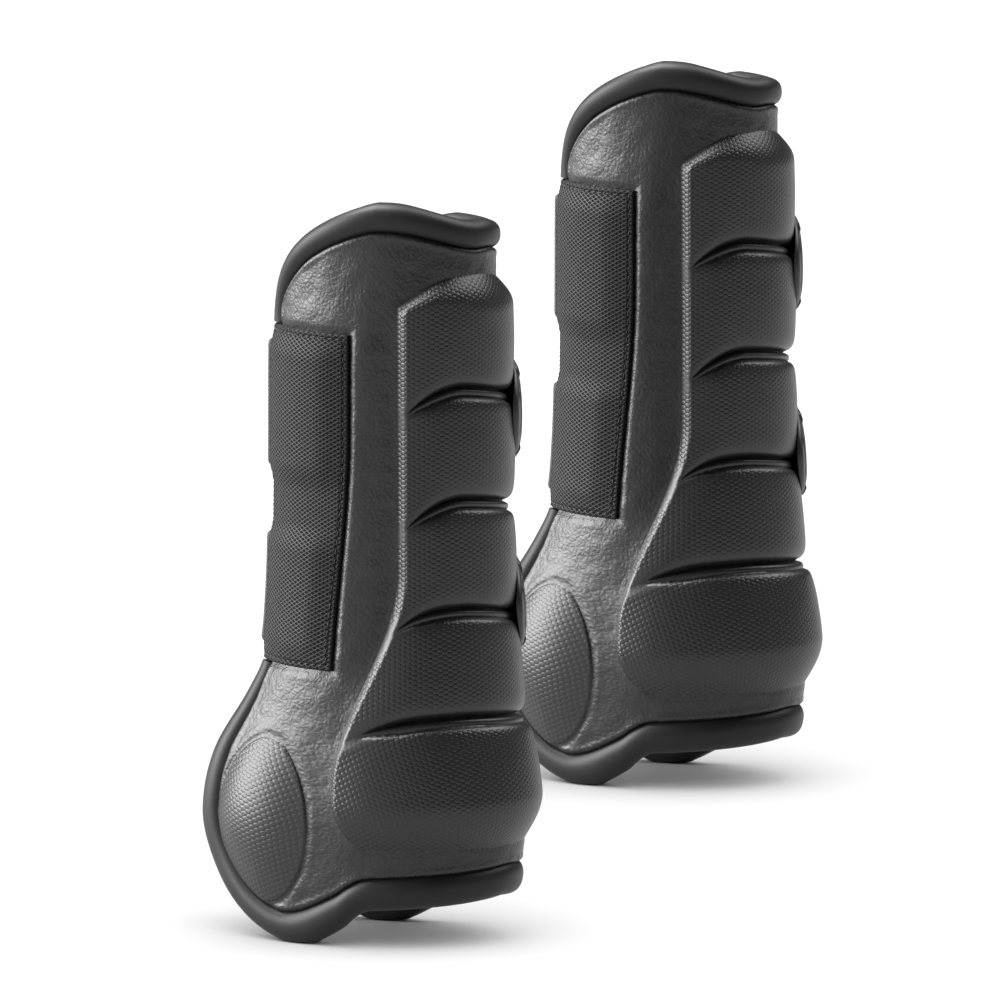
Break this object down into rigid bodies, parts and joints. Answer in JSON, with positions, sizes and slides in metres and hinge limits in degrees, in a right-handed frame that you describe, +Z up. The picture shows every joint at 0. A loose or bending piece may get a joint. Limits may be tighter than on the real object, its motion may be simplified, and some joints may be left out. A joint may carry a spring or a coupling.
{
  "type": "tendon boots",
  "caption": "Open-front moulded tendon boots for a horse's forelegs, with ribbed tendon pad, fetlock lobes, rolled rims and hook-and-loop straps",
  "frame": {"origin": "on the floor under the middle of the pair's bounding box", "axes": "+Z up the leg, +X towards the back of both legs, -Y towards the side the picture shows; the boots stand one behind the other along Y"},
  "size_m": [0.2096, 0.4416, 0.2472],
  "materials": {
    "grained_shell": "leather grain, satin",
    "smooth_rim": "smooth, semi-gloss",
    "pebbled_pad": "fine pebble dots, satin",
    "foam": "closed-cell foam, matt",
    "lining": "fine knit, matt",
    "mesh_fabric": "open woven mesh, matt",
    "elastic_webbing": "ribbed elastic webbing, matt",
    "hook_and_loop": "napped tape, matt",
    "strap_rubber": "smooth moulded, satin"
  },
  "bodies": {
    "boot1": {"boot1_outer_shell": "grained_shell", "boot1_foam_liner": "foam", "boot1_inner_lining": "lining", "boot1_upper_rim": "smooth_rim", "boot1_lower_rim": "smooth_rim", "boot1_medial_front_edge": "smooth_rim", "boot1_lateral_front_edge": "smooth_rim", "boot1_tendon_rib_1": "pebbled_pad", "boot1_tendon_rib_2": "pebbled_pad", "boot1_tendon_rib_3": "pebbled_pad", "boot1_tendon_rib_4": "pebbled_pad", "boot1_fetlock_bulge": "pebbled_pad", "boot1_medial_fetlock_pad": "pebbled_pad", "boot1_lateral_fetlock_pad": "pebbled_pad", "boot1_mesh_patch": "mesh_fabric", "boot1_upper_strap_root": "elastic_webbing", "boot1_lower_strap_root": "elastic_webbing", "boot1_upper_loop_tape": "hook_and_loop", "boot1_lower_loop_tape": "hook_and_loop"},
    "boot1_upper_elastic": {"boot1_upper_strap_elastic": "elastic_webbing"},
    "boot1_upper_tab": {"boot1_upper_strap_tab": "strap_rubber", "boot1_upper_hook_tape": "hook_and_loop", "boot1_upper_tip_grip": "strap_rubber"},
    "boot1_lower_elastic": {"boot1_lower_strap_elastic": "elastic_webbing"},
    "boot1_lower_tab": {"boot1_lower_strap_tab": "strap_rubber", "boot1_lower_hook_tape": "hook_and_loop", "boot1_lower_tip_grip": "strap_rubber"},
    "boot2": {"boot2_outer_shell": "grained_shell", "boot2_foam_liner": "foam", "boot2_inner_lining": "lining", "boot2_upper_rim": "smooth_rim", "boot2_lower_rim": "smooth_rim", "boot2_medial_front_edge": "smooth_rim", "boot2_lateral_front_edge": "smooth_rim", "boot2_tendon_rib_1": "pebbled_pad", "boot2_tendon_rib_2": "pebbled_pad", "boot2_tendon_rib_3": "pebbled_pad", "boot2_tendon_rib_4": "pebbled_pad", "boot2_fetlock_bulge": "pebbled_pad", "boot2_medial_fetlock_pad": "pebbled_pad", "boot2_lateral_fetlock_pad": "pebbled_pad", "boot2_mesh_patch": "mesh_fabric", "boot2_upper_strap_root": "elastic_webbing", "boot2_lower_strap_root": "elastic_webbing", "boot2_upper_loop_tape": "hook_and_loop", "boot2_lower_loop_tape": "hook_and_loop"},
    "boot2_upper_elastic": {"boot2_upper_strap_elastic": "elastic_webbing"},
    "boot2_upper_tab": {"boot2_upper_strap_tab": "strap_rubber", "boot2_upper_hook_tape": "hook_and_loop", "boot2_upper_tip_grip": "strap_rubber"},
    "boot2_lower_elastic": {"boot2_lower_strap_elastic": "elastic_webbing"},
    "boot2_lower_tab": {"boot2_lower_strap_tab": "strap_rubber", "boot2_lower_hook_tape": "hook_and_loop", "boot2_lower_tip_grip": "strap_rubber"}
  },
  "joints": [
    {"name": "boot1_upper_strap_swing", "type": "hinge", "parent": "boot1", "child": "boot1_upper_elastic", "pos_m": [0.01486, -0.19538, 0.1765], "axis": [0, 0, 1], "range_deg": [0, 120]},
    {"name": "boot1_upper_tab_peel", "type": "hinge", "parent": "boot1_upper_elastic", "child": "boot1_upper_tab", "pos_m": [0.01334, -0.16062, 0.1765], "axis": [0, 0, 1], "range_deg": [0, 110]},
    {"name": "boot1_lower_strap_swing", "type": "hinge", "parent": "boot1", "child": "boot1_lower_elastic", "pos_m": [0.01356, -0.19584, 0.1154], "axis": [0.0536, 0.0199, 0.9984], "range_deg": [0, 120]},
    {"name": "boot1_lower_tab_peel", "type": "hinge", "parent": "boot1_lower_elastic", "child": "boot1_lower_tab", "pos_m": [0.01208, -0.16013, 0.1154], "axis": [0.0525, -0.0209, 0.9984], "range_deg": [0, 110]},
    {"name": "boot2_pick_up", "type": "slide", "parent": "boot1", "child": "boot2", "axis": [0, 0, 1], "range_m": [0, 0.3]},
    {"name": "boot2_upper_strap_swing", "type": "hinge", "parent": "boot2", "child": "boot2_upper_elastic", "pos_m": [-0.08244, 0.16302, 0.1765], "axis": [0, 0, 1], "range_deg": [0, 120]},
    {"name": "boot2_upper_tab_peel", "type": "hinge", "parent": "boot2_upper_elastic", "child": "boot2_upper_tab", "pos_m": [-0.08396, 0.19778, 0.1765], "axis": [0, 0, 1], "range_deg": [0, 110]},
    {"name": "boot2_lower_strap_swing", "type": "hinge", "parent": "boot2", "child": "boot2_lower_elastic", "pos_m": [-0.08374, 0.16256, 0.1154], "axis": [0.0536, 0.0199, 0.9984], "range_deg": [0, 120]},
    {"name": "boot2_lower_tab_peel", "type": "hinge", "parent": "boot2_lower_elastic", "child": "boot2_lower_tab", "pos_m": [-0.08522, 0.19827, 0.1154], "axis": [0.0525, -0.0209, 0.9984], "range_deg": [0, 110]}
  ]
}
